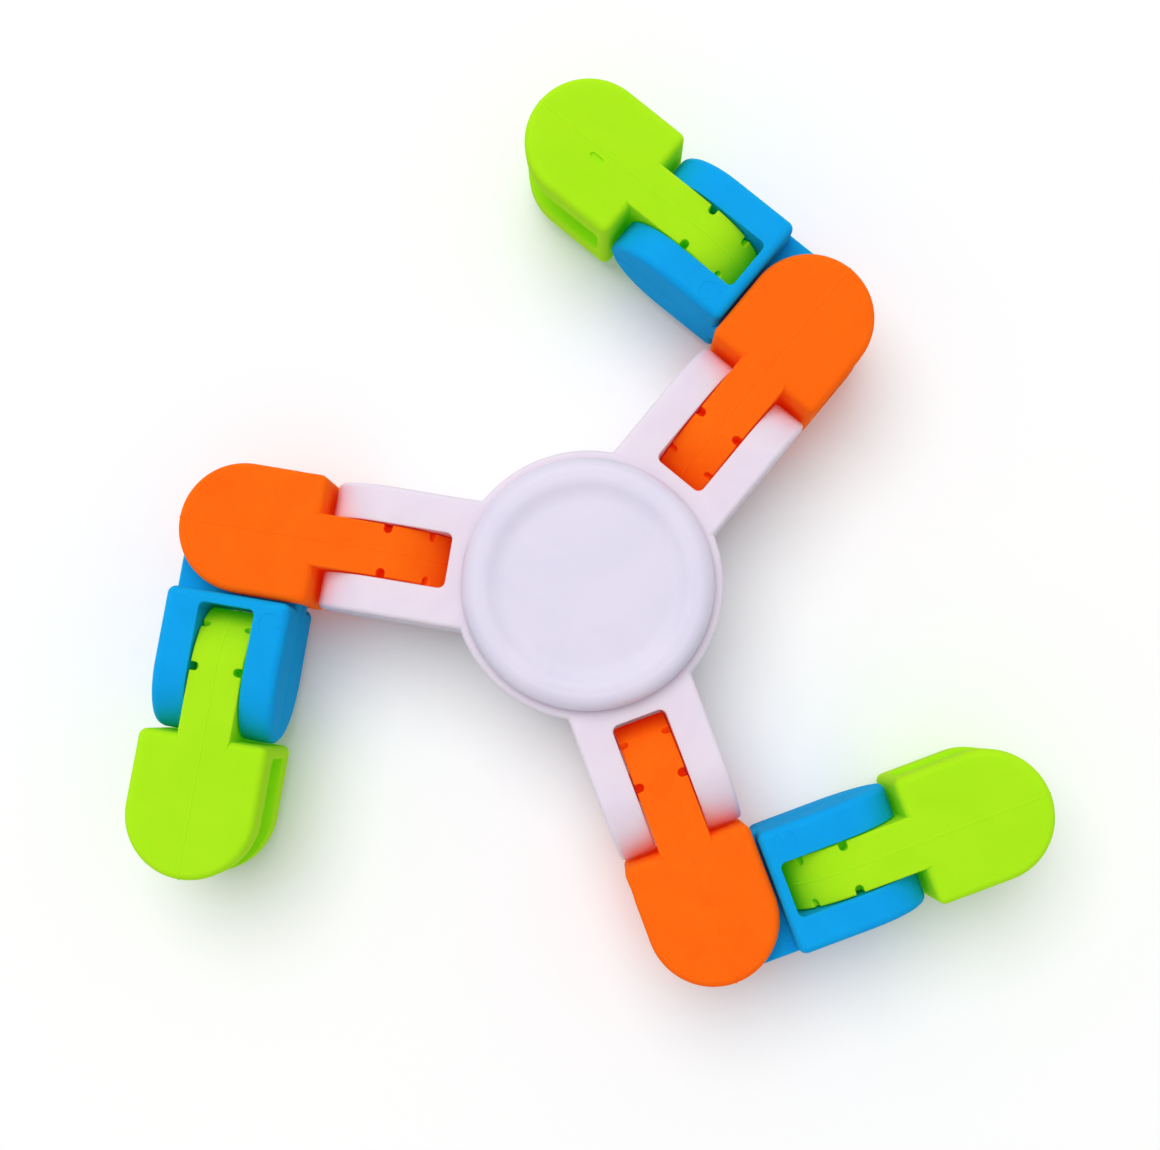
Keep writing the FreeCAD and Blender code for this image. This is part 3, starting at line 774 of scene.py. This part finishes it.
padSize = {
    "radius": 13.0,
    "thickness": 2.0,
    "lift": 0.5,               # pad to the frame's face
    "heel": 0.3,
    "side": 0.2,
    "rimFlat": 0.5,
    "dishDepth": 0.45,
    "dishFloor": 8.3,
    "dishLip": 3.2,            # rounding from the rim into the dish
    "bossRadius": 5.75,
    "bossLength": 3.8,
    "stemRadius": 3.98,
    "stemEnd": 7.1,
    "pegRadius": 2.0,
    "pegLength": 3.0,
    "socketEnd": 3.9,
    "heelSteps": 5,
    "rimSteps": 16,
    "lipSteps": 14,
    "hollowSteps": 18,
    "turnSteps": 160,
    "sharpOver": 40,           # degrees: an edge over this stays sharp
}


def padProfile(size, lower):
    top, heel, shelf = size["thickness"], size["heel"], size["heel"] + size["side"]
    floor = top - size["dishDepth"]
    rim = size["radius"] - (top - shelf)
    edge = rim - size["rimFlat"]
    run = edge - size["dishFloor"]
    # the radii of the lip and the hollow together, which meet without a step
    curves = (run ** 2 + size["dishDepth"] ** 2) / (2 * size["dishDepth"])
    sweep = math.degrees(math.asin(run / curves))
    hollow = curves - size["dishLip"]
    if lower:
        tip = [(0, -size["socketEnd"]), (size["pegRadius"], -size["socketEnd"]),
               (size["pegRadius"], -size["stemEnd"])]
    else:
        pegEnd = -size["stemEnd"] - size["pegLength"]
        tip = [(0, pegEnd), (size["pegRadius"], pegEnd), (size["pegRadius"], -size["stemEnd"])]
    profile = [(0, floor), *tip, (size["stemRadius"], -size["stemEnd"]),
               (size["stemRadius"], -size["bossLength"]), (size["bossRadius"], -size["bossLength"]),
               (size["bossRadius"], 0)]
    profile += arcPoints((size["radius"] - heel, heel), heel, -90, 0, size["heelSteps"])
    profile += arcPoints((rim, shelf), top - shelf, 0, 90, size["rimSteps"])
    profile += arcPoints((edge, top - size["dishLip"]), size["dishLip"], 90, 90 + sweep,
                         size["lipSteps"])
    profile += arcPoints((size["dishFloor"], floor + hollow), hollow, -90 + sweep, -90,
                         size["hollowSteps"])[1:]
    return profile


def buildPad(name, size, lower):
    pad = lathe(name, padProfile(size, lower), size["turnSteps"])
    return smoothNormals(pad, size["sharpOver"]).data


lift = up * (shell["half"] + padSize["lift"])
turnedOver = Matrix.Rotation(math.pi, 4, "X")
placePiece("upperFingerPad", buildPad("upperPad", padSize, lower=False),
           Matrix.Translation(middle + lift), materials["finger_pad"], "spindle", "finger_pad",
           "top_cap")
placePiece("lowerFingerPad", buildPad("lowerPad", padSize, lower=True),
           Matrix.Translation(middle - lift) @ turnedOver, materials["finger_pad"], "spindle",
           "finger_pad", "bottom_cap")
print("finger pads placed")


# The bearing keeps its own shapes and gets its finishes

bearingFinish = {"bearing_inner_ring": "bearing_steel", "bearing_outer_ring": "bearing_steel",
                 "lower_shield": "shield_steel", "upper_shield": "shield_steel",
                 "ball_cage": "cage_nylon"}
for name, node in frame["nodes"].items():
    finish = bearingFinish.get(name, "bearing_steel" if name.startswith("bearing_ball") else None)
    if finish:
        node.data.materials.clear()
        node.data.materials.append(materials[finish])
print("bearing finished")

for leftover in list(working.objects):
    bpy.data.objects.remove(leftover)
bpy.data.collections.remove(working)


# Floor, lights and camera

studio = {
    "floorReach": 1.5,         # metres, as are the lamp's size and place
    "floorColour": "E8E8EA",   # what the object's underside sees
    "floorLift": 0.035,        # what the camera sees of the floor on top of its light
    "lampPower": 25.6,         # watts
    "lampSize": 1.8,
    "lampPlace": (0.60, 0.44, 1.90),
    "worldStrength": 0.49,     # as light; the camera sees plain white
}


def paleSurface(name, colour, lift):
    # white where the camera looks at it, pale for the light that it sends back; it keeps shadows
    material = bpy.data.materials.new(name)
    material.use_nodes = True
    tree = material.node_tree
    shader = tree.nodes["Principled BSDF"]
    rays = tree.nodes.new("ShaderNodeLightPath")
    either = mathNode(tree, "MAXIMUM")
    anyView = mathNode(tree, "MAXIMUM")
    seen = colourMix(tree)
    seen.inputs["A"].default_value = fromHex(colour)
    seen.inputs["B"].default_value = (1.0, 1.0, 1.0, 1.0)
    tree.links.new(rays.outputs["Is Camera Ray"], either.inputs[0])
    tree.links.new(rays.outputs["Is Glossy Ray"], either.inputs[1])
    tree.links.new(either.outputs[0], anyView.inputs[0])
    tree.links.new(rays.outputs["Is Transmission Ray"], anyView.inputs[1])
    tree.links.new(anyView.outputs[0], seen.inputs["Factor"])
    tree.links.new(seen.outputs["Result"], shader.inputs["Base Color"])
    glow = colourMix(tree)
    glow.inputs["A"].default_value = (0.0, 0.0, 0.0, 1.0)
    glow.inputs["B"].default_value = (lift, lift, lift, 1.0)
    tree.links.new(rays.outputs["Is Camera Ray"], glow.inputs["Factor"])
    tree.links.new(glow.outputs["Result"], shader.inputs["Emission Color"])
    shader.inputs["Emission Strength"].default_value = 1.0
    shader.inputs["Roughness"].default_value = 1.0
    shader.inputs["Specular IOR Level"].default_value = 0.0
    return material


floorMesh = bpy.data.meshes.new("floor")
reach = studio["floorReach"]
floorMesh.from_pydata([(-reach, -reach, 0), (reach, -reach, 0),
                       (reach, reach, 0), (-reach, reach, 0)], [], [(0, 1, 2, 3)])
floor = bpy.data.objects.new("floor", floorMesh)
floorMesh.materials.append(paleSurface("paleFloor", studio["floorColour"], studio["floorLift"]))
bpy.context.scene.collection.objects.link(floor)

lamp = bpy.data.lights.new("softBox", "AREA")
lamp.shape = "DISK"
lamp.size = studio["lampSize"]
lamp.energy = studio["lampPower"]
lampObject = bpy.data.objects.new("softBox", lamp)
lampObject.location = studio["lampPlace"]
lampObject.rotation_euler = Vector(studio["lampPlace"]).to_track_quat("Z", "Y").to_euler()
bpy.context.scene.collection.objects.link(lampObject)

world = bpy.data.worlds.new("studioLight")
bpy.context.scene.world = world
world.use_nodes = True
background = world.node_tree.nodes["Background"]
background.inputs["Color"].default_value = (1.0, 1.0, 1.0, 1.0)
worldRays = world.node_tree.nodes.new("ShaderNodeLightPath")
worldLevel = world.node_tree.nodes.new("ShaderNodeMapRange")
worldLevel.inputs["To Min"].default_value = studio["worldStrength"]
worldLevel.inputs["To Max"].default_value = 1.0
world.node_tree.links.new(worldRays.outputs["Is Camera Ray"], worldLevel.inputs["Value"])
world.node_tree.links.new(worldLevel.outputs[0], background.inputs["Strength"])

view = {
    "place": (-12.793, -4.587, 189.764),
    "aim": (1.355, 1.171, 9.3),
    "top": (0.98291, 0.16466, 0.08231),     # what is up for the camera
    "lens": 52.50,
    "sensor": 36.0,
    "nearest": 0.01,                        # metres
}
camera = bpy.data.cameras.new("camera")
camera.lens = view["lens"]
camera.sensor_width = view["sensor"]
camera.clip_start = view["nearest"]
cameraObject = bpy.data.objects.new("camera", camera)
back = (Vector(view["place"]) - Vector(view["aim"])).normalized()
right = Vector(view["top"]).cross(back).normalized()
turn = Matrix((right, back.cross(right), back)).transposed().to_4x4()
cameraObject.matrix_world = Matrix.Translation(Vector(view["place"]) * millimetre) @ turn
bpy.context.scene.collection.objects.link(cameraObject)
bpy.context.scene.camera = cameraObject
bpy.context.scene.view_settings.view_transform = "Standard"
print("studio ready")
